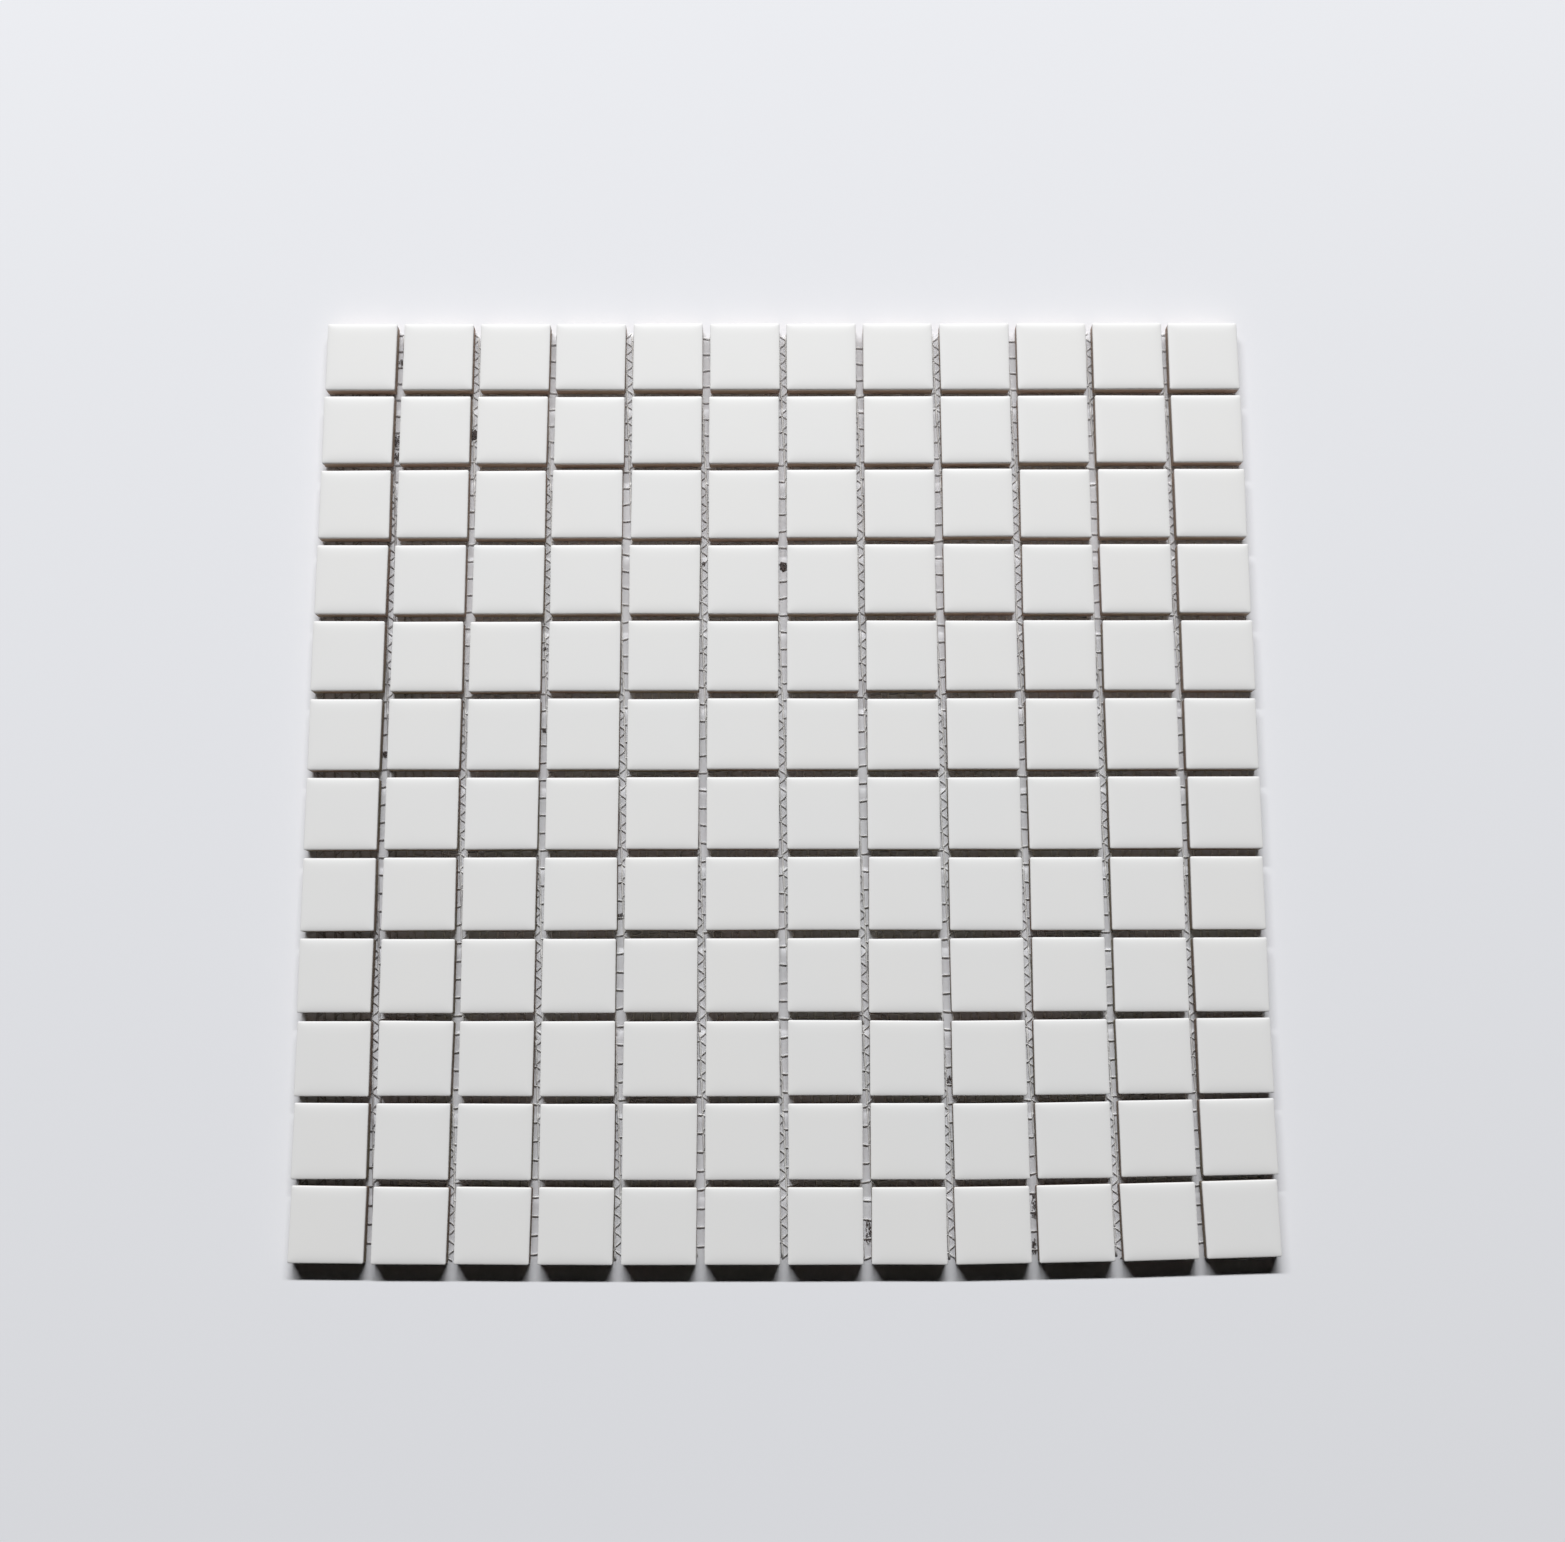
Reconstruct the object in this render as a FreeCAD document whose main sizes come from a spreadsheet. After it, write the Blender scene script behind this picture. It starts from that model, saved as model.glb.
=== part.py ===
import FreeCAD, Part
import math
import os
import Sketcher
from FreeCAD import Placement, Rotation, Vector

# Mosaic tile sheet, lying face up on its backing net.
# The origin is the centre of the sheet's underside. X runs along a row of tiles,
# Y across the rows towards row 1, and Z up through the glazed faces.

sizeRows = [
    ("tiles_across", "12", "tiles in a row"),
    ("tile_rows", "12", "rows of tiles"),
    ("tile_side", "23.0", "side of a tile in plan, mm"),
    ("tile_thickness", "5.0", "tile from back to face, mm"),
    ("edge_radius", "0.8", "rounding of the tile's face edges and upright corners, mm"),
    ("joint_width", "2.4", "open joint between two tiles, mm"),
    ("net_thickness", "0.5", "height of the net under the tiles, mm"),
    ("net_pitch", "5.65", "from one strand's middle to the next, mm"),
    ("strand_width", "0.7", "width of a strand, mm"),
    ("net_turn", "2.5", "turn of the net against the rows, degrees"),
    ("net_inset", "1.0", "net's cut edge inside the outer tiles' edge, mm"),
    ("patch_meshes", "14", "most meshes along one side of a patch of net"),
]

doc = FreeCAD.newDocument("MosaicTileSheet")
sheet = doc.addObject("Spreadsheet::Sheet", "Sizes")
for line, (alias, value, meaning) in enumerate(sizeRows, start=1):
    sheet.set("A%d" % line, alias)
    sheet.set("B%d" % line, value)
    sheet.set("C%d" % line, meaning)
    sheet.setAlias("B%d" % line, alias)
doc.recompute()

# Expressions that several pieces share
rowLength = "(Sizes.tiles_across * (Sizes.tile_side + Sizes.joint_width) - Sizes.joint_width)"
sheetDepth = "(Sizes.tile_rows * (Sizes.tile_side + Sizes.joint_width) - Sizes.joint_width)"
tilePitch = "(Sizes.tile_side + Sizes.joint_width)"


def originFeature(body, role):
    return next(item for item in body.Origin.OriginFeatures if item.Role == role)


def addSquareSketch(body):
    # One tile's outline, with its left front corner on the body's origin
    sketch = body.newObject("Sketcher::SketchObject", body.Name + "_outline")
    sketch.AttachmentSupport = [(originFeature(body, "XY_Plane"), "")]
    sketch.MapMode = "FlatFace"
    side = float(sheet.tile_side)
    corners = [Vector(0, 0), Vector(side, 0), Vector(side, side), Vector(0, side)]
    for start, end in zip(corners, corners[1:] + corners[:1]):
        sketch.addGeometry(Part.LineSegment(start, end), False)
    startPoint, endPoint = 1, 2
    for index in range(4):
        sketch.addConstraint(
            Sketcher.Constraint("Coincident", index, endPoint, (index + 1) % 4, startPoint))
    for index in (0, 2):
        sketch.addConstraint(Sketcher.Constraint("Horizontal", index))
    for index in (1, 3):
        sketch.addConstraint(Sketcher.Constraint("Vertical", index))
    sketch.addConstraint(Sketcher.Constraint("Coincident", 0, startPoint, -1, startPoint))
    for name, index in (("Width", 0), ("Depth", 1)):
        number = sketch.addConstraint(Sketcher.Constraint("Distance", index, side))
        sketch.renameConstraint(number, name)
        sketch.setExpression("Constraints." + name, "Sizes.tile_side")
    return sketch


def edgesAboveBack(shape):
    # Names of the upright edges and of the face's edges: all but those of the flat back
    backHeight = shape.BoundBox.ZMin
    return ["Edge%d" % number for number, edge in enumerate(shape.Edges, start=1)
            if edge.BoundBox.ZMax > backHeight + edge.Length / 2
            or edge.BoundBox.ZMin > backHeight]


def addTileRow(row):
    # A row of loose tiles: one rounded tile, repeated along X at the joint's spacing
    body = doc.addObject("PartDesign::Body", "tile_row_%02d" % row)
    body.AllowCompound = True
    pad = body.newObject("PartDesign::Pad", body.Name + "_tile")
    pad.Profile = addSquareSketch(body)
    pad.setExpression("Length", "Sizes.tile_thickness")
    doc.recompute()
    fillet = body.newObject("PartDesign::Fillet", body.Name + "_edges")
    fillet.Base = (pad, edgesAboveBack(pad.Shape))
    fillet.setExpression("Radius", "Sizes.edge_radius")
    doc.recompute()
    pattern = body.newObject("PartDesign::LinearPattern", body.Name + "_tiles")
    pattern.TransformMode = "Whole shape"
    pattern.Direction = (originFeature(body, "X_Axis"), [""])
    pattern.Mode = "Spacing"
    pattern.setExpression("Offset", tilePitch)
    pattern.setExpression("Occurrences", "Sizes.tiles_across")
    body.Tip = pattern
    body.setExpression("Placement.Base.x", "-%s / 2" % rowLength)
    body.setExpression("Placement.Base.y",
                       "%s / 2 - %d * %s + Sizes.joint_width" % (sheetDepth, row, tilePitch))
    body.setExpression("Placement.Base.z", "Sizes.net_thickness")
    return body


def outlineWire(left, front, right, back):
    corners = [Vector(left, front), Vector(right, front), Vector(right, back), Vector(left, back)]
    return Part.makePolygon(corners + corners[:1])


def holeWire(left, front, right, back):
    # Runs the other way round than an outline, so that a face leaves it open
    corners = [Vector(left, front), Vector(left, back), Vector(right, back), Vector(right, front)]
    return Part.makePolygon(corners + corners[:1])


def netSize():
    # Width and depth of the trimmed net
    pitch = sheet.tile_side + sheet.joint_width
    width = sheet.tiles_across * pitch - sheet.joint_width - 2 * sheet.net_inset
    depth = sheet.tile_rows * pitch - sheet.joint_width - 2 * sheet.net_inset
    return width, depth


def patchEnds(across, along):
    # Strand numbers where the patches begin and end, along one direction of the turned net.
    # The net reaches the corners of the trimmed outline, and its patches are about as long as each other.
    turn = math.radians(sheet.net_turn)
    reach = across / 2 * math.cos(turn) + along / 2 * abs(math.sin(turn))
    strands = math.ceil(reach / sheet.net_pitch)
    patches = math.ceil(2 * strands / sheet.patch_meshes)
    return [round(2 * strands * patch / patches) - strands for patch in range(patches + 1)]


def netPatch(columns, rows):
    # Flat strands both ways, fused where they cross: a plate with its square meshes left out.
    # Patches meet face to face along the middle of a strand.
    pitch = sheet.net_pitch
    halfStrand = sheet.strand_width / 2
    outline = outlineWire(columns[0] * pitch, rows[0] * pitch, columns[1] * pitch, rows[1] * pitch)
    meshes = [holeWire(column * pitch + halfStrand, row * pitch + halfStrand,
                       (column + 1) * pitch - halfStrand, (row + 1) * pitch - halfStrand)
              for column in range(*columns) for row in range(*rows)]
    width, depth = netSize()
    trim = Part.Face(outlineWire(-width / 2, -depth / 2, width / 2, depth / 2))
    trim.rotate(Vector(0, 0, 0), Vector(0, 0, 1), -sheet.net_turn)
    flat = Part.Face([outline] + meshes).common(trim)
    return Part.makeCompound([face.extrude(Vector(0, 0, sheet.net_thickness)) for face in flat.Faces])


def addNet():
    width, depth = netSize()
    columnEnds = patchEnds(width, depth)
    rowEnds = patchEnds(depth, width)[::-1]
    patches = [(columns, (rowEnd, rowStart))
               for rowStart, rowEnd in zip(rowEnds, rowEnds[1:])
               for columns in zip(columnEnds, columnEnds[1:])]
    nets = []
    for number, (columns, rows) in enumerate(patches, start=1):
        net = doc.addObject("Part::Feature", "backing_net_%02d" % number)
        solids = netPatch(columns, rows).Solids
        net.Shape = solids[0] if len(solids) == 1 else Part.makeCompound(solids)
        net.Placement = Placement(Vector(0, 0, 0), Rotation(Vector(0, 0, 1), sheet.net_turn))
        nets.append(net)
    return nets


tileRows = [addTileRow(row) for row in range(1, int(sheet.tile_rows) + 1)]
subParts = tileRows + addNet()
doc.recompute()

for item in doc.Objects:
    if "Invalid" in item.State or "Error" in item.State:
        raise RuntimeError("%s failed: %s" % (item.Label, item.State))
for subPart in subParts:
    if subPart.Shape.isNull() or not subPart.Shape.isValid():
        raise RuntimeError("%s has no valid shape" % subPart.Label)

os.makedirs("parts", exist_ok=True)
for subPart in subParts:
    subPart.Shape.exportStep(os.path.join("parts", subPart.Label + ".step"))
    box = subPart.Shape.BoundBox
    print("%s: %d solids, volume %.1f mm3, z %.2f to %.2f"
          % (subPart.Label, len(subPart.Shape.Solids), subPart.Shape.Volume, box.ZMin, box.ZMax))
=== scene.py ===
import math
import random

import bmesh
import bpy
import numpy as np
from mathutils import Euler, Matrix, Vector, noise


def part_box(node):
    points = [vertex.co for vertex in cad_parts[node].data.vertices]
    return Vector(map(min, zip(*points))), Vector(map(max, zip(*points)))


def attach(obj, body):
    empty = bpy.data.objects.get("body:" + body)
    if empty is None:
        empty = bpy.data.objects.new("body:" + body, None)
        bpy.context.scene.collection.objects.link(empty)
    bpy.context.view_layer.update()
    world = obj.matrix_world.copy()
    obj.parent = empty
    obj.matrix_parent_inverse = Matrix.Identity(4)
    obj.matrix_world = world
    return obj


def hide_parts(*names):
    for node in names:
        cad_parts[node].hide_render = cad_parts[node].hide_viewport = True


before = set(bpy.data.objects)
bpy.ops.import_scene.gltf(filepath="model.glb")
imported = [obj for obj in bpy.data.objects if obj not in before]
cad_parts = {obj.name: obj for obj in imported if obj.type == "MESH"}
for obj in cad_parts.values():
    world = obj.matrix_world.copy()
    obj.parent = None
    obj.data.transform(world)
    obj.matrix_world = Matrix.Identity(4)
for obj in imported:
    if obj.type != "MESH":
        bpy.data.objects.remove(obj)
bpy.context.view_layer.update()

mm = 0.001
rowNodes = sorted(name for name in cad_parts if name.startswith("tile_row_"))
netNodes = sorted(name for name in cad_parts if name.startswith("backing_net_"))


def boxCorners(node):
    low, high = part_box(node)
    return Vector(low), Vector(high)


# the sheet's plan, read from the construction model
firstLow, firstHigh = boxCorners(rowNodes[0])
secondLow, secondHigh = boxCorners(rowNodes[1])
sheetPlan = dict(
    rows=len(rowNodes),
    tileSide=firstHigh.y - firstLow.y,
    pitch=firstLow.y - secondLow.y,
    backZ=firstLow.z,
    faceZ=firstHigh.z,
    left=firstLow.x,
    far=firstHigh.y,
    halfWidth=firstHigh.x,
)
sheetPlan["columns"] = round((firstHigh.x - firstLow.x) / sheetPlan["pitch"])
print("plan:", sheetPlan["columns"], "by", sheetPlan["rows"], "tiles, pitch",
      round(sheetPlan["pitch"] / mm, 2), "mm")


# shader helpers

class Wire:
    # a socket in a sum: each operator adds a Math node
    def __init__(self, finish, socket):
        self.finish = finish
        self.socket = socket

    def math(self, operation, first, second):
        return self.finish.node("ShaderNodeMath", dict(operation=operation), {0: first, 1: second})

    def __add__(self, other):
        return self.math("ADD", self, other)

    def __sub__(self, other):
        return self.math("SUBTRACT", self, other)

    def __rsub__(self, other):
        return self.math("SUBTRACT", other, self)

    def __mul__(self, other):
        return self.math("MULTIPLY", self, other)

    __radd__ = __add__
    __rmul__ = __mul__


class Finish:
    # a material or a world while its nodes are added
    def __init__(self, owner):
        owner.use_nodes = True
        self.tree = owner.node_tree
        self.tree.nodes.clear()

    def node(self, kind, settings=None, inputs=None, output=0):
        made = self.tree.nodes.new(kind)
        for name, value in (settings or {}).items():
            setattr(made, name, value)
        for name, value in (inputs or {}).items():
            if isinstance(value, Wire):
                self.tree.links.new(value.socket, made.inputs[name])
            else:
                made.inputs[name].default_value = value
        if made.outputs:
            return Wire(self, made.outputs[output])

    def mixColour(self, share, first, second):
        return self.node("ShaderNodeMix", dict(data_type="RGBA"), {0: share, 6: first, 7: second}, 2)

    def step(self, value, low, high):
        # 0 below low, 1 above high, smooth between
        return self.node("ShaderNodeMapRange", dict(interpolation_type="SMOOTHSTEP"),
                         {"Value": value, "From Min": low, "From Max": high})

    def place(self):
        return self.node("ShaderNodeTexCoord", output="Object")

    def axis(self, vector, name):
        return self.node("ShaderNodeSeparateXYZ", None, {"Vector": vector}, name)

    def stretch(self, vector, amounts):
        return self.node("ShaderNodeVectorMath", dict(operation="MULTIPLY"), {0: vector, 1: amounts})

    def noise(self, vector, scale, detail=2.0, roughness=0.5):
        inputs = {"Vector": vector, "Scale": scale, "Detail": detail, "Roughness": roughness}
        return self.node("ShaderNodeTexNoise", None, inputs)

    def bump(self, height):
        # height in metres
        return self.node("ShaderNodeBump", None, {"Height": height, "Distance": 1.0, "Strength": 1.0})

    def surface(self, **inputs):
        named = {name.replace("_", " "): value for name, value in inputs.items()}
        shader = self.node("ShaderNodeBsdfPrincipled", None, named)
        self.node("ShaderNodeOutputMaterial", None, {"Surface": shader})


def newFinish(name):
    material = bpy.data.materials.new(name)
    return material, Finish(material)


def rgba(red, green, blue):
    return (red, green, blue, 1.0)


# finishes

ceramic = dict(
    glaze=rgba(0.80, 0.795, 0.785),
    glazeCool=rgba(0.785, 0.79, 0.795),
    glazeThin=rgba(0.62, 0.56, 0.515),
    clayRed=rgba(0.36, 0.262, 0.208),
    clayOlive=rgba(0.305, 0.268, 0.188),
    clayDark=rgba(0.182, 0.142, 0.11),
    # painted light: a paler clay, mixed in towards the far rows
    clayPaintedLight=rgba(0.58, 0.45, 0.37),
    darkShare=0.6,           # most of the dark clay in the speckle
    paintedLightShare=0.6,           # of the paler clay painted on in the far rows: painted light
    paintedLightFrom=-20 * mm,       # along Y, from the sheet's middle
    paintedLightTo=95 * mm,
    glazeLine=3.65 * mm,     # above the tile's back
    glazeRun=0.25 * mm,      # how far the line wanders
    glazeEdge=0.1 * mm,      # from the line to full clay or glaze
    glazeFull=0.8 * mm,      # above the line, where the glaze hides the clay at last
    glazeRoughness=0.50,
    roughnessDrift=0.08,
    clayRoughness=0.85,
    orangePeel=0.004 * mm,
    clayGrain=0.05 * mm,
    runScale=160.0,          # scales of the noises, from here on
    driftScale=25.0,
    burnScale=55.0,
    burnEdges=(0.4, 0.6),    # of that noise, between the red and the olive clay
    speckleScale=2600.0,
    patchScale=90.0,
    peelScale=700.0,
    grainScale=3200.0,
)


def ceramicFinish():
    material, finish = newFinish("glazedCeramic")
    place = finish.place()
    wander = finish.noise(place, ceramic["runScale"], 3.0) * 2.0 - 1.0
    line = wander * ceramic["glazeRun"] + (sheetPlan["backZ"] + ceramic["glazeLine"])
    above = finish.axis(place, "Z") - line
    glazed = finish.step(above, -ceramic["glazeEdge"], ceramic["glazeEdge"])
    # glaze: almost even, with a slow drift of tone
    drift = finish.noise(place, ceramic["driftScale"])
    glaze = finish.mixColour(drift, ceramic["glaze"], ceramic["glazeCool"])
    full = finish.step(above, 0.0, ceramic["glazeFull"])
    glaze = finish.mixColour(full, ceramic["glazeThin"], glaze)
    # fired clay: unevenly burnt, with a fine speckle
    burnt = finish.step(finish.noise(place, ceramic["burnScale"], 1.0), *ceramic["burnEdges"])
    speckle = finish.noise(place, ceramic["speckleScale"], 3.0, 0.7)
    clay = finish.mixColour(burnt, ceramic["clayRed"], ceramic["clayOlive"])
    clay = finish.mixColour(speckle * ceramic["darkShare"], clay, ceramic["clayDark"])
    # painted light: the clay is painted paler towards the far rows, standing in for the brighter
    # bounce light on the far rows' joint walls
    far = finish.step(finish.axis(place, "Y"), ceramic["paintedLightFrom"], ceramic["paintedLightTo"])
    clay = finish.mixColour(far * ceramic["paintedLightShare"], clay, ceramic["clayPaintedLight"])
    colour = finish.mixColour(glazed, clay, glaze)
    patches = finish.noise(place, ceramic["patchScale"], 3.0)
    smoothest = ceramic["glazeRoughness"] - ceramic["roughnessDrift"] / 2
    glazeRoughness = patches * ceramic["roughnessDrift"] + smoothest
    roughness = glazed * (glazeRoughness - ceramic["clayRoughness"]) + ceramic["clayRoughness"]
    peel = finish.noise(place, ceramic["peelScale"], 1.0)
    grain = finish.noise(place, ceramic["grainScale"], 4.0, 0.6)
    height = glazed * peel * ceramic["orangePeel"] + (1.0 - glazed) * grain * ceramic["clayGrain"]
    finish.surface(Base_Color=colour, Roughness=roughness, Normal=finish.bump(height))
    return material


yarn = dict(
    white=rgba(0.93, 0.93, 0.93),
    shade=rgba(0.80, 0.80, 0.80),
    dusty=rgba(0.47, 0.46, 0.47),
    roughness=0.85,
    twist=0.03 * mm,
    fibreScale=5200.0,
    fibreStretch=(1.0, 0.35, 1.0),
    dustScale=140.0,
    dustEdges=(0.52, 0.85),  # of that noise, from clean to dusty
    leftDarkening=0.28,           # added to it along the left side, where the net is made darker
    leftDarkEdges=(-95 * mm, -135 * mm),
)


def yarnFinish():
    material, finish = newFinish("knittedYarn")
    place = finish.place()
    stretched = finish.stretch(place, yarn["fibreStretch"])
    fibre = finish.noise(stretched, yarn["fibreScale"], 3.0, 0.65)
    clean = finish.mixColour(fibre, yarn["shade"], yarn["white"])
    # dust gathers in patches; the net is also made darker along the left side
    left = finish.step(finish.axis(place, "X"), *yarn["leftDarkEdges"])
    patches = left * yarn["leftDarkening"] + finish.noise(place, yarn["dustScale"], 4.0, 0.6)
    dust = finish.step(patches, *yarn["dustEdges"])
    colour = finish.mixColour(dust, clean, yarn["dusty"])
    finish.surface(Base_Color=colour, Roughness=yarn["roughness"],
                   Normal=finish.bump(fibre * yarn["twist"]))
    return material


grit = dict(
    dark=rgba(0.045, 0.036, 0.036),
    light=rgba(0.16, 0.135, 0.13),
    roughness=0.9,
    grain=0.03 * mm,
    spotScale=2600.0,
)


def gritFinish():
    material, finish = newFinish("darkGritAndPaintedShade")
    spots = finish.noise(finish.place(), grit["spotScale"], 3.0, 0.6)
    finish.surface(Base_Color=finish.mixColour(spots, grit["dark"], grit["light"]),
                   Roughness=grit["roughness"], Normal=finish.bump(spots * grit["grain"]))
    return material


# meshes

def newPiece(name, corners, faces, material, nodes):
    mesh = bpy.data.meshes.new(name)
    mesh.from_pydata(corners, [], faces)
    mesh.update()
    mesh.polygons.foreach_set("use_smooth", [True] * len(mesh.polygons))
    mesh.materials.append(material)
    piece = bpy.data.objects.new(name, mesh)
    bpy.context.scene.collection.objects.link(piece)
    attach(piece, "root")
    if nodes:
        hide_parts(*nodes)
    return piece


# how the tiles were laid: mostly in line, with the near corners drawn in
laying = dict(
    seed=12,
    slip=0.09 * mm,          # chance shift and turn of each tile
    turn=math.radians(0.10),
    rightPull=2.0 * mm,      # away from the near side, at the two near corners
    leftPull=0.8 * mm,
    pullFrom=50 * mm,        # from the sheet's middle, where the pull begins
    pullReach=90 * mm,
    nearCurve=1.5,           # how the pull grows towards the near side, and sideways
    sideCurve=1.3,
    cornerPull=0.45 * mm,    # sideways, near the left corner
    cornerShare=0.65,        # of the left end's measure, where the sideways pull is full
    wave=0.20 * mm,          # the rows lie closer here and wider there
    waveLength=254 * mm,
    middleShift=0.35 * mm,   # to the left, around one place
    middlePlace=-50 * mm,
    middleReach=(60 * mm, 90 * mm),
    farSqueeze=0.0035,       # the far rows are this much shorter
    squeezeFrom=40 * mm,
    squeezeReach=100 * mm,
    nearSlide=0.20 * mm,     # the last rows lie this much nearer
    slideFrom=50 * mm,
    slideTo=90 * mm,
    outerColumns=(0.05 * mm, 0.25 * mm),     # first and last column stand in this much
)


def drawnIn(x, y):
    # how far a place on the sheet has moved from the straight grid
    near = max(0.0, (-y - laying["pullFrom"]) / laying["pullReach"]) ** laying["nearCurve"]
    right = max(0.0, (x - laying["pullFrom"]) / laying["pullReach"]) ** laying["sideCurve"]
    left = max(0.0, (-x - laying["pullFrom"]) / laying["pullReach"]) ** laying["sideCurve"]
    moveY = near * (right * laying["rightPull"] + left * laying["leftPull"])
    moveY += laying["wave"] * math.sin(2 * math.pi * y / laying["waveLength"])
    slide = (-y - laying["slideFrom"]) / (laying["slideTo"] - laying["slideFrom"])
    moveY -= laying["nearSlide"] * min(max(slide, 0.0), 1.0)
    wide, deep = laying["middleReach"]
    hump = math.exp(-((x - laying["middlePlace"]) / wide) ** 2 - (y / deep) ** 2)
    moveX = -laying["middleShift"] * hump
    far = max(0.0, (y - laying["squeezeFrom"]) / laying["squeezeReach"])
    moveX -= x * laying["farSqueeze"] * far
    moveX += laying["cornerPull"] * math.sqrt(near) * min(left / laying["cornerShare"], 1.0)
    if abs(x) > sheetPlan["halfWidth"] - sheetPlan["tileSide"]:
        first, last = laying["outerColumns"]
        moveX += -last if x > 0 else first
    return moveX, moveY


def tilePlaces():
    # centre and turn of every tile, row by row
    dice = random.Random(laying["seed"])
    half = sheetPlan["tileSide"] / 2
    places = []
    for row in range(sheetPlan["rows"]):
        line = []
        for column in range(sheetPlan["columns"]):
            x = sheetPlan["left"] + half + column * sheetPlan["pitch"]
            y = sheetPlan["far"] - half - row * sheetPlan["pitch"]
            moveX, moveY = drawnIn(x, y)
            rise = (drawnIn(x + half, y)[1] - drawnIn(x - half, y)[1]) / sheetPlan["tileSide"]
            turn = math.atan(rise) + dice.gauss(0, laying["turn"])
            x += moveX + dice.gauss(0, laying["slip"])
            y += moveY + dice.gauss(0, laying["slip"])
            reach = half * (abs(math.cos(turn)) + abs(math.sin(turn)))
            limit = sheetPlan["halfWidth"] - reach
            line.append((min(max(x, -limit), limit), min(max(y, -limit), limit), turn))
        places.append(line)
    return places


tileShape = dict(
    rollOver=((72, 0.14 * mm), (18, 1.05 * mm)),   # slope in degrees and how fast it fades
    # places of the rings along the edge, in mm
    steps=[0.0, 0.06, 0.13, 0.21, 0.31, 0.45, 0.65, 0.95, 1.35, 1.85, 2.5, 3.4, 4.5],
    finerSteps=12,           # from ring to ring, to add up the slope
    cornerRadius=0.5 * mm,
    cornerGrow=0.45,         # the corner gets rounder up the edge
    cornerSteps=5,
    sideSteps=6,
    draft=0.06 * mm,         # the sides lean in this much towards the back
    sideRings=(0.33, 0.66),
    backBevel=0.45 * mm,
    backRings=((2, 0), (1, 0), (0.3, 0.3), (0, 1)),     # inset and height, in bevels
    waver=0.03 * mm,
    waverScale=160,
    waverShift=(7.3, 3.1),   # from tile to tile, so that no two waver alike
    narrowing=(0.014, 0.008),    # at most, of a far or near end and of a left or right end
)


def crownProfile():
    # inset and height of the rounded edge, walked from the upright side to the level face
    profile = []
    inset = climb = walked = 0.0
    pieces = tileShape["finerSteps"]
    for stop in tileShape["steps"]:
        part = (stop * mm - walked) / pieces
        for piece in range(pieces):
            middle = walked + (piece + 0.5) * part
            slope = math.radians(sum(tilt * math.exp(-middle / fade)
                                     for tilt, fade in tileShape["rollOver"]))
            inset += part * math.cos(slope)
            climb += part * math.sin(slope)
        walked = stop * mm
        profile.append((inset, climb))
    return profile


def ringPoints(half, radius):
    # a square outline with rounded corners, and points along its sides
    points = []
    steps = tileShape["cornerSteps"]
    for quarter in range(4):
        turn = quarter * math.pi / 2
        forward = Vector((math.cos(turn), math.sin(turn)))
        across = Vector((-forward.y, forward.x))
        for step in range(steps + 1):
            angle = math.pi / 2 * step / steps
            out = half - radius
            points.append(forward * (out + radius * math.cos(angle))
                          + across * (out + radius * math.sin(angle)))
        for step in range(1, tileShape["sideSteps"]):
            along = (half - radius) * (1 - 2 * step / tileShape["sideSteps"])
            points.append(across * half + forward * along)
    return points


def tileRings():
    # outlines of a tile and their heights, from the back to the face
    half = sheetPlan["tileSide"] / 2
    crown = crownProfile()
    top = sheetPlan["faceZ"] - crown[-1][1]
    back = sheetPlan["backZ"]
    bevel = tileShape["backBevel"]
    draft = tileShape["draft"]
    rings = [(half - draft - bevel * inset, back + bevel * rise, 0.0)
             for inset, rise in tileShape["backRings"]]
    rings += [(half - draft * (1 - share), back + bevel + (top - back - bevel) * share, 0.0)
              for share in tileShape["sideRings"]]
    rings += [(half - inset, top + climb, inset) for inset, climb in crown]
    outlines = []
    for size, height, inset in rings:
        radius = tileShape["cornerRadius"] + tileShape["cornerGrow"] * inset
        outlines.append(([(point.x, point.y) for point in ringPoints(size, radius)], height))
    return outlines


def tileRow(row, places, rings, material):
    corners = []
    faces = []
    count = len(rings[0][0])
    half = sheetPlan["tileSide"] / 2
    dice = random.Random(laying["seed"] + row + 1)
    shiftX, shiftY = tileShape["waverShift"]
    for column, (x, y, turn) in enumerate(places):
        first = len(corners)
        cosine, sine = math.cos(turn), math.sin(turn)
        shift = Vector((column * shiftX, row * shiftY, 0))
        ends, sides = [dice.uniform(-most, most) for most in tileShape["narrowing"]]
        for points, height in rings:
            for px, py in points:
                place = Vector((px, py, 0)) * tileShape["waverScale"] + shift
                waver = noise.noise(place) * tileShape["waver"]
                scale = 1 - abs(waver) / half
                qx = px * (scale - abs(ends) / 2 - ends / 2 * py / half)
                qy = py * (scale - abs(sides) / 2 - sides / 2 * px / half)
                corners.append((x + qx * cosine - qy * sine, y + qx * sine + qy * cosine, height))
        for ring in range(len(rings) - 1):
            for index in range(count):
                after = (index + 1) % count
                low, high = first + ring * count, first + (ring + 1) * count
                faces.append((low + index, low + after, high + after, high + index))
        faces.append(tuple(first + index for index in reversed(range(count))))
        last = first + (len(rings) - 1) * count
        faces.append(tuple(last + index for index in range(count)))
    newPiece("glazed_tiles_row_%02d" % (row + 1), corners, faces, material, [rowNodes[row]])


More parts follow.
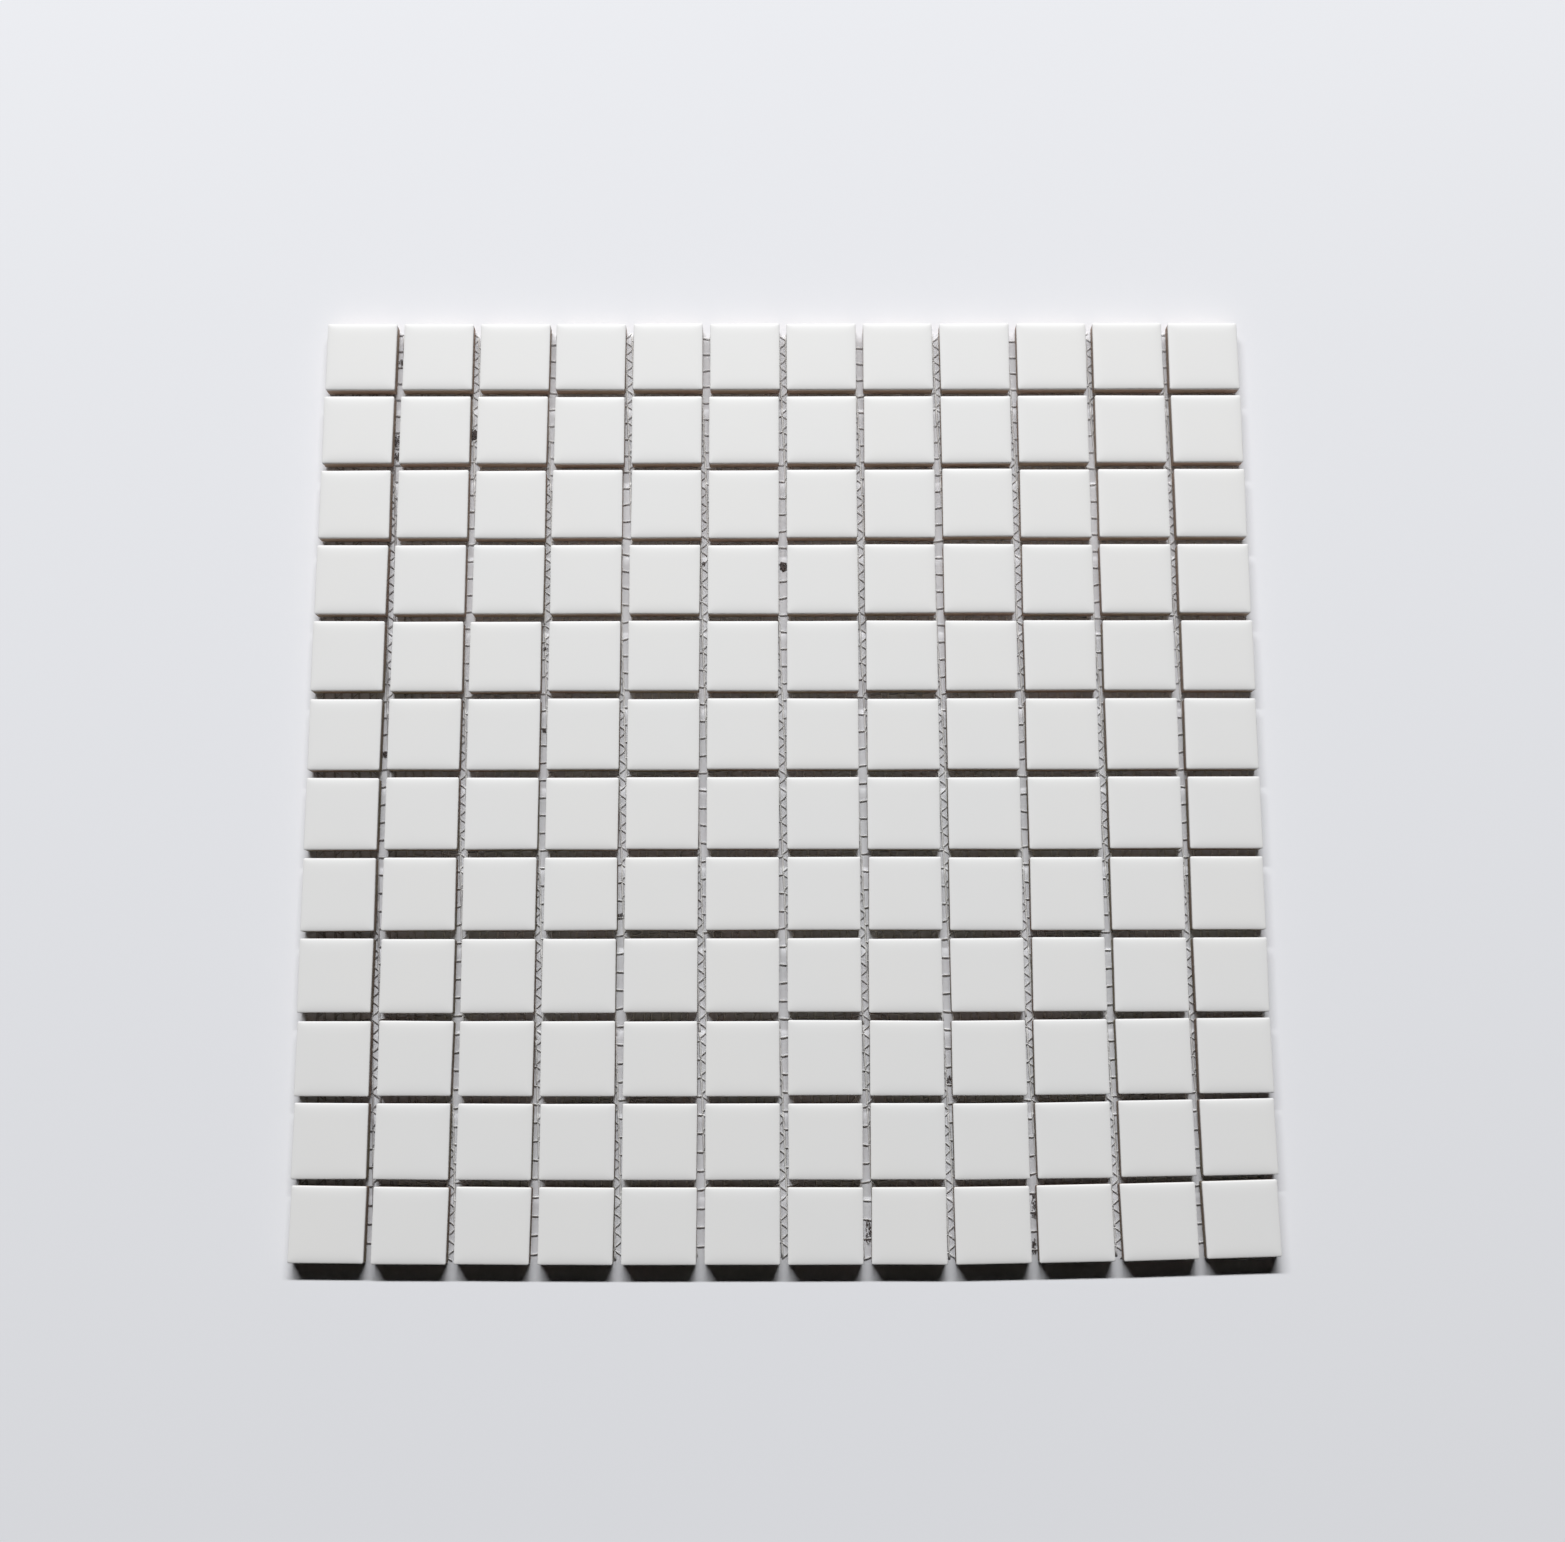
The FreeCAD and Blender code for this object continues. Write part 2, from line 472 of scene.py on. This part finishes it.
# the knitted net, in its own turned directions: chains run along v, and between them lie
# bands of rungs and of zigzags in turn
net = dict(
    pitch=5.65 * mm,
    turn=math.radians(2.5),
    inset=1.0 * mm,
    patchEnds=(-28, -14, 0, 14, 28),     # of the construction model's patches, in pitches
    loopWidth=5.676 * mm,    # of the knitting across the chains
    rungBand=2.55 * mm,      # middle of a band with rungs, from the sheet's middle
    rungReach=3.45 * mm,     # width of that band, between its two chains
    rungPlace=2.15 * mm,     # middle of a rung along a chain
    stitch=1.4125 * mm,
    chain=(0.38 * mm, 0.17 * mm, 0.18 * mm),      # half width, half height, middle height
    rung=(0.19 * mm, 0.14 * mm, 0.34 * mm),
    zigzag=(0.17 * mm, 0.125 * mm, 0.345 * mm),
    zigzagFall=1.75 * mm,
    zigzagBends=(0.45, 0.55),    # share of the fall at its two bends
    stray=0.14 * mm,
    strayScale=120,
    strayShift=(31.4, 11.7),
    rungPoints=6,
    rungTilt=0.7 * mm,       # how far the ends of a rung slip apart at most
    tiltScale=90,
    farBow=0.8 * mm,         # the far rows of the net lie this much to the right
    bowFrom=40 * mm,
    bowReach=50 * mm,
    looseFrom=-5 * mm,       # nearer than this the net is looser, fully so at looseTo
    looseTo=-80 * mm,
    looseDrift=0.9,
    driftScale=28,
    loosest=1.3,
    looseRung=(0.05 * mm, 0.04 * mm, -0.04 * mm),    # added to a rung's sizes
    looseZigzag=(0.03 * mm, 0.02 * mm, 0.0),
    bulge=0.12 * mm,         # how far loose yarns stand up between two tiles
    bulgeReach=0.95 * mm,
    zigzagRise=0.4,          # share of it that zigzags take
    sides=5,
)


def netToSheet(points):
    # from the net's directions to the sheet's
    cosine, sine = math.cos(net["turn"]), math.sin(net["turn"])
    far = np.clip((points[..., 1] - net["bowFrom"]) / net["bowReach"], 0, 1)
    across = points[..., 0] + net["farBow"] * far ** 2 * (3 - 2 * far)
    turned = points.copy()
    turned[..., 0] = across * cosine - points[..., 1] * sine
    turned[..., 1] = across * sine + points[..., 1] * cosine
    return turned


def looseness(point):
    # how loose the net is at a place: firm in the far half but for a few places
    x, y = netToSheet(point)[:2]
    share = min(max((y - net["looseFrom"]) / (net["looseTo"] - net["looseFrom"]), 0.0), 1.0)
    drift = noise.noise(Vector((x, y, 0)) * net["driftScale"]) * net["looseDrift"]
    return min(max(share + drift, 0.0), net["loosest"])


def bulged(points, rise):
    # loose yarns stand up in the middle of the joints that run away from the camera
    gap = sheetPlan["pitch"] - sheetPlan["tileSide"]
    place = np.mod(points[:, 0] - sheetPlan["left"] + gap / 2, sheetPlan["pitch"])
    away = np.minimum(place, sheetPlan["pitch"] - place) / net["bulgeReach"]
    points[:, 2] += net["bulge"] * rise * np.clip(1 - away ** 2, 0, 1)
    return points


def strayed(points):
    # yarns wander a little; neighbours wander alike
    shift = Vector((*net["strayShift"], 0))
    for point in points:
        place = Vector((point[0], point[1], 0)) * net["strayScale"]
        point[0] += noise.noise(place) * net["stray"]
        point[1] += noise.noise(place + shift) * net["stray"]
    return points


def chainPaths(reach):
    # one path for every chain: two to each loop width, a rung apart
    count = int(reach / net["loopWidth"]) + 2
    along = np.arange(-reach, reach, net["stitch"])
    height = np.full(len(along), net["chain"][2])
    paths = []
    for band in range(-count, count):
        for side in (-0.5, 0.5):
            u = net["rungBand"] + band * net["loopWidth"] + side * net["rungReach"]
            paths.append(np.stack([np.full(len(along), u), along, height], 1))
    return paths


def crossPaths(reach):
    # a rung and a zigzag for every loop
    across = int(reach / net["loopWidth"]) + 2
    down = int(reach / net["pitch"]) + 2
    half = net["pitch"] / 2
    fall = net["zigzagFall"]
    firstBend, secondBend = net["zigzagBends"]
    count = net["rungPoints"]
    height = np.full(count, net["rung"][2])
    rungs, zigzags = [], []
    for band in range(-across, across + 1):
        middle = net["rungBand"] + band * net["loopWidth"]
        near = middle + net["rungReach"] / 2
        far = middle - net["rungReach"] / 2 + net["loopWidth"]
        centre = (near + far) / 2
        for rung in range(-down, down + 1):
            v = net["rungPlace"] + rung * net["pitch"]
            u = np.linspace(middle - net["rungReach"] / 2, near, count)
            tilt = noise.noise(Vector((middle, v, 0)) * net["tiltScale"]) * net["rungTilt"]
            rungs.append(np.stack([u, v + np.linspace(-tilt, tilt, count), height], 1))
            turns = [(near, v), (centre, v - fall * firstBend), (far, v - fall), (far, v - half),
                     (centre, v - half - fall * secondBend), (near, v - half - fall),
                     (near, v - 2 * half)]
            zigzags.append(np.array([(u, v, net["zigzag"][2]) for u, v in turns]))
    return rungs, zigzags


def insideRuns(points):
    # the stretches of a path that the trimmed net keeps
    limit = sheetPlan["halfWidth"] - net["inset"]
    sheetPoints = netToSheet(points)
    keep = (np.abs(sheetPoints[:, 0]) < limit) & (np.abs(sheetPoints[:, 1]) < limit)
    runs, start = [], None
    for index, kept in enumerate(list(keep) + [False]):
        if kept and start is None:
            start = index
        if not kept and start is not None:
            if index - start > 1:
                runs.append(slice(start, index))
            start = None
    return runs


def patchOf(u, v):
    # the construction model's patch at a place, counted from the far left one
    ends = [end * net["pitch"] for end in net["patchEnds"]]
    column = sum(1 for end in ends[1:-1] if u >= end)
    row = sum(1 for end in ends[1:-1] if v < -end)
    return row * (len(ends) - 1) + column


def addTube(mesh, points, size):
    # a closed tube of flattened section around a path
    corners, faces = mesh
    sides = net["sides"]
    along = np.gradient(points, axis=0)
    along[:, 2] = 0
    along /= np.linalg.norm(along, axis=1)[:, None]
    across = np.stack([along[:, 1], -along[:, 0], np.zeros(len(along))], 1)
    first = len(corners)
    angles = [2 * math.pi * side / sides + math.pi / 2 for side in range(sides)]
    ring = np.array([[math.cos(angle) * size[0], math.sin(angle) * size[1]] for angle in angles])
    tube = points[:, None, :] + across[:, None, :] * ring[None, :, :1]
    tube[..., 2] += ring[None, :, 1]
    corners.extend(map(tuple, tube.reshape(-1, 3)))
    for step in range(len(points) - 1):
        for side in range(sides):
            after = (side + 1) % sides
            low, high = first + step * sides, first + (step + 1) * sides
            faces.append((low + side, high + side, high + after, low + after))
    faces.append(tuple(first + side for side in range(sides)))
    last = first + (len(points) - 1) * sides
    faces.append(tuple(last + side for side in reversed(range(sides))))


def netParts(reach):
    # every yarn that the trimmed net keeps, with its patch, size and rise; chains are cut where
    # the patches meet
    ends = [end * net["pitch"] for end in net["patchEnds"]]
    for chain in chainPaths(reach):
        for run in insideRuns(chain):
            kept = chain[run]
            for low, high in zip(ends, ends[1:]):
                part = kept[(kept[:, 1] >= low - net["stitch"]) & (kept[:, 1] <= high)]
                if len(part) > 1:
                    middle = part[len(part) // 2]
                    yield part, patchOf(middle[0], middle[1]), net["chain"], 0.0
    rungs, zigzags = crossPaths(reach)
    kinds = ((rungs, net["rung"], net["looseRung"], 1.0),
             (zigzags, net["zigzag"], net["looseZigzag"], net["zigzagRise"]))
    for paths, size, more, share in kinds:
        for path in paths:
            for run in insideRuns(path):
                middle = path[run].mean(axis=0)
                loose = looseness(middle)
                wide, high, lift = [amount + extra * loose for amount, extra in zip(size, more)]
                path[run, 2] = lift
                yield path[run], patchOf(middle[0], middle[1]), (wide, high), loose * share


def buildNet(material):
    patches = [([], []) for _ in netNodes]
    cover = [0.0 for _ in netNodes]      # how much of the flat cut the yarns fill
    reach = sheetPlan["halfWidth"] * (math.cos(net["turn"]) + math.sin(net["turn"]))
    for part, patch, size, rise in netParts(reach):
        addTube(patches[patch], bulged(netToSheet(strayed(part.copy())), rise), size)
        cover[patch] += float(np.linalg.norm(np.diff(part, axis=0), axis=1).sum()) * 2 * size[0]
    for node, (corners, faces), area in zip(netNodes, patches, cover):
        corners = [(float(x), float(y), float(z)) for x, y, z in corners]
        name = node.replace("backing_net", "knitted_net")
        piece = newPiece(name, corners, faces, material, [node])
        low, high = boxCorners(node)
    print("net: yarns cover", round(sum(cover) / mm ** 2), "mm2 of the cut")


# dark grit caught between tiles, lying on the net in a few joints; one heap is painted shade
crumbs = dict(
    seed=5,
    # in mm from the sheet's middle: X, Y, width, length; then grains and the largest in mm
    heaps=(
        (-126.8, 139.6, 2.0, 2.6, 26, 0.4),
        (-127.3, 112.2, 2.2, 4.2, 52, 0.45),
        (-127.2, 107.0, 2.1, 2.6, 34, 0.45),
        (-101.8, 114.3, 2.3, 3.2, 60, 0.7),
        (-25.9, 70.3, 1.2, 1.2, 10, 0.45),
        (0.1, 69.4, 3.1, 2.5, 70, 0.8),
        (-127.3, 7.3, 2.2, 1.6, 30, 0.5),
        (-76.8, 41.7, 1.7, 1.0, 14, 0.45),
        (-76.5, 14.9, 1.8, 1.0, 14, 0.45),
        # painted shade: this heap stands in for the deeper shade at the rung knots in this joint
        (-51.3, -44.6, 1.8, 1.6, 18, 0.45),
        (51.4, -95.9, 1.6, 2.4, 22, 0.45),
        (25.8, -141.6, 1.6, 7.5, 46, 0.45),
        (76.7, -134.5, 1.3, 8.0, 34, 0.45),
        (76.6, -146.2, 1.3, 5.0, 34, 0.45),
    ),
    widest=2.1 * mm,         # between the tiles
    smallest=0.3,            # grain in mm
    lump=0.45,
    lumpScale=1.7,
    lumpShift=50,
    flatness=0.6,
    bed=0.42 * mm,           # height of the grains' middles, sunk in the net
)


def buildCrumbs(material):
    dice = random.Random(crumbs["seed"])
    mesh = bmesh.new()
    for x, y, width, length, count, largest in crumbs["heaps"]:
        for _ in range(count):
            size = dice.uniform(crumbs["smallest"], largest) * mm
            angle = dice.uniform(0, 2 * math.pi)
            away = math.sqrt(dice.random()) / 2
            side = (crumbs["widest"] - size) / 2
            across = min(max(math.cos(angle) * away * width * mm, -side), side)
            along = math.sin(angle) * away * length * mm
            middle = Vector((x * mm + across, y * mm + along, crumbs["bed"]))
            grain = bmesh.ops.create_icosphere(mesh, subdivisions=2, radius=size / 2)["verts"]
            shift = Vector((dice.random(), dice.random(), dice.random())) * crumbs["lumpShift"]
            for corner in grain:
                place = corner.co / size * crumbs["lumpScale"] + shift
                lump = 1 + crumbs["lump"] * noise.noise(place)
                corner.co.z *= crumbs["flatness"]
                corner.co = corner.co * lump + middle
    piece = newPiece("dark_grit_and_painted_shade", [], [], material, [])
    mesh.to_mesh(piece.data)
    mesh.free()


# light, floor and camera

studio = dict(
    lampElevation=math.radians(44.1),    # beyond the far side
    lampDistance=4.8,
    lampAcross=-0.41,
    lampLength=4.32,
    lampDepth=0.21,
    lampPower=261.0,
    innerAcross=-0.04,
    innerLength=1.56,
    innerPower=65.6,
    fill=0.0015,             # of the world's light on the sheet
    pale=0.90,               # of the world as the camera sees it
    sky=rgba(0.96, 0.98, 1.0),
    floorSize=3.0,
    floor=rgba(0.82, 0.83, 0.865),
    floorRoughness=0.85,
)


def buildStudio():
    lean = studio["lampElevation"]
    for name, across, length, power in (
            ("stripLamp", studio["lampAcross"], studio["lampLength"], studio["lampPower"]),
            ("innerLamp", studio["innerAcross"], studio["innerLength"], studio["innerPower"])):
        lamp = bpy.data.lights.new(name, "AREA")
        lamp.shape = "RECTANGLE"
        lamp.size = length
        lamp.size_y = studio["lampDepth"]
        lamp.energy = power
        holder = bpy.data.objects.new(name, lamp)
        away = studio["lampDistance"]
        holder.location = (across, away * math.cos(lean), away * math.sin(lean))
        holder.rotation_euler = Euler((lean - math.pi / 2, 0, 0))
        holder.visible_camera = False
        bpy.context.scene.collection.objects.link(holder)

    half = studio["floorSize"] / 2
    mesh = bpy.data.meshes.new("floor")
    corners = [(-half, -half, 0), (half, -half, 0), (half, half, 0), (-half, half, 0)]
    mesh.from_pydata(corners, [], [(0, 1, 2, 3)])
    material, finish = newFinish("paleFloor")
    finish.surface(Base_Color=studio["floor"], Roughness=studio["floorRoughness"])
    mesh.materials.append(material)
    floor = bpy.data.objects.new("floor", mesh)
    bpy.context.scene.collection.objects.link(floor)

    world = bpy.data.worlds.new("studioWorld")
    bpy.context.scene.world = world
    finish = Finish(world)
    seen = finish.node("ShaderNodeLightPath", output="Is Camera Ray")
    level = seen * (studio["pale"] - studio["fill"]) + studio["fill"]
    back = finish.node("ShaderNodeBackground", None, {"Color": studio["sky"], "Strength": level})
    finish.node("ShaderNodeOutputWorld", None, {"Surface": back})
    bpy.context.scene.view_settings.view_transform = "Standard"


camera = dict(
    lens=41.442,
    sensor=36.0,
    place=(-0.703 * mm, -95.416 * mm, 563.092 * mm),     # from the middle of the sheet's faces
    lean=math.radians(9.6844),
    tilt=math.radians(-0.026),
    roll=math.radians(-0.0856),
    clip=(0.01, 50),
)


def buildCamera():
    data = bpy.data.cameras.new("camera")
    data.lens = camera["lens"]
    data.sensor_width = camera["sensor"]
    data.clip_start, data.clip_end = camera["clip"]
    eye = bpy.data.objects.new("camera", data)
    x, y, z = camera["place"]
    eye.location = (x, y, z + sheetPlan["faceZ"])
    eye.rotation_euler = Euler((camera["lean"], camera["tilt"], camera["roll"]))
    bpy.context.scene.collection.objects.link(eye)
    bpy.context.scene.camera = eye


buildCamera()
print("camera placed")

tileMaterial = ceramicFinish()
rings = tileRings()
for row, places in enumerate(tilePlaces()):
    tileRow(row, places, rings, tileMaterial)
print("tiles laid")

buildNet(yarnFinish())
print("net knitted")

buildCrumbs(gritFinish())
print("grit dropped")

buildStudio()
print("lamps and floor set")
